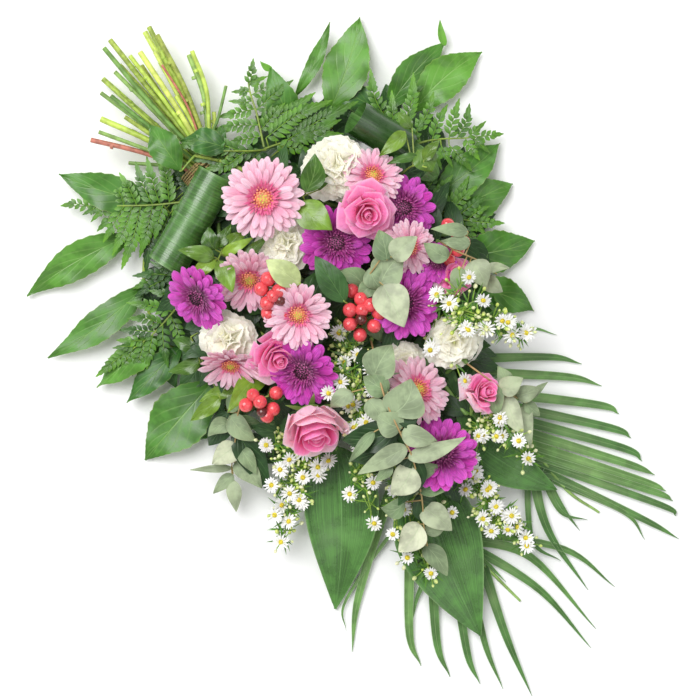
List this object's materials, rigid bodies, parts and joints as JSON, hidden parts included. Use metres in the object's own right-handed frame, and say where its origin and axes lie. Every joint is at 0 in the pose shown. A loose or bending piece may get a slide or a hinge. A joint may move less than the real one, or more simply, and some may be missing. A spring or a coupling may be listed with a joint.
{
  "type": "funeral flower arrangement",
  "caption": "Flat hand-tied funeral spray of roses, gerberas, carnations, asters, berries, eucalyptus, ferns and palm leaves that lies on its back.",
  "frame": {"origin": "centre of the arrangement's footprint, on the surface that it lies on", "axes": "+Z up out of the blooms; the cut stems point to -X +Y and the palm tips to +X -Y, as seen from above with +Y up"},
  "size_m": [0.65, 0.674, 0.1213],
  "materials": {
    "pink_petals": "soft matt petal, pale pink with lighter tips",
    "purple_petals": "soft matt petal, magenta purple",
    "rose_petals": "velvety petal, pink with paler rims",
    "cream_petals": "soft matt petal, creamy white",
    "berry": "glossy smooth skin, coral red",
    "leaf": "glossy green leaf with lighter veins",
    "fern": "satin green frond",
    "palm": "satin green leaflet with pale edges",
    "broad_leaf": "glossy green leaf with fine lengthwise stripes",
    "sprig": "glossy fresh green leaf",
    "eucalyptus": "matt grey green leaf with a waxy bloom",
    "aster": "matt white rays, yellow discs, thin green stems",
    "stem": "smooth yellow green stem, pale cut ends",
    "twine": "matt twisted natural fibre"
  },
  "bodies": {
    "root": {"palm_frond_right": "palm", "palm_frond_bottom": "palm", "broad_leaf_left": "broad_leaf", "broad_leaf_middle": "broad_leaf", "broad_leaf_right": "broad_leaf", "rolled_leaf_left": "broad_leaf", "rolled_leaf_top": "broad_leaf", "leaf_branch_left": "leaf", "leaf_branch_top": "leaf", "leaf_branch_right": "leaf", "collar_leaves": "leaf", "fern_left": "fern", "fern_lower_left": "fern", "ferns_top": "fern", "ferns_right": "fern", "gerbera_pink_1": "pink_petals", "gerbera_pink_2": "pink_petals", "gerbera_pink_3": "pink_petals", "gerbera_pink_4": "pink_petals", "gerbera_pink_5": "pink_petals", "gerbera_pink_6": "pink_petals", "gerbera_pink_7": "pink_petals", "gerbera_purple_1": "purple_petals", "gerbera_purple_2": "purple_petals", "gerbera_purple_3": "purple_petals", "gerbera_purple_4": "purple_petals", "gerbera_purple_5": "purple_petals", "gerbera_purple_6": "purple_petals", "gerbera_purple_7": "purple_petals", "carnation_1": "cream_petals", "carnation_2": "cream_petals", "carnation_3": "cream_petals", "carnation_4": "cream_petals", "carnation_5": "cream_petals", "rose_1": "rose_petals", "rose_2": "rose_petals", "rose_3": "rose_petals", "rose_4": "rose_petals", "rose_5": "rose_petals", "berries_1": "berry", "berries_2": "berry", "berries_3": "berry", "berries_4": "berry", "sprig_left": "sprig", "sprig_middle": "sprig", "sprig_lower_left": "sprig", "sprig_top_right": "sprig", "eucalyptus_long": "eucalyptus", "eucalyptus_left": "eucalyptus", "eucalyptus_middle": "eucalyptus", "eucalyptus_right": "eucalyptus", "eucalyptus_top_right": "eucalyptus", "aster_spray_left": "aster", "aster_spray_middle": "aster", "aster_spray_right": "aster", "aster_spray_far_right": "aster", "aster_spray_lower_right": "aster", "aster_spray_bottom": "aster", "twine": "twine", "bound_stems": "stem"}
  },
  "joints": []
}
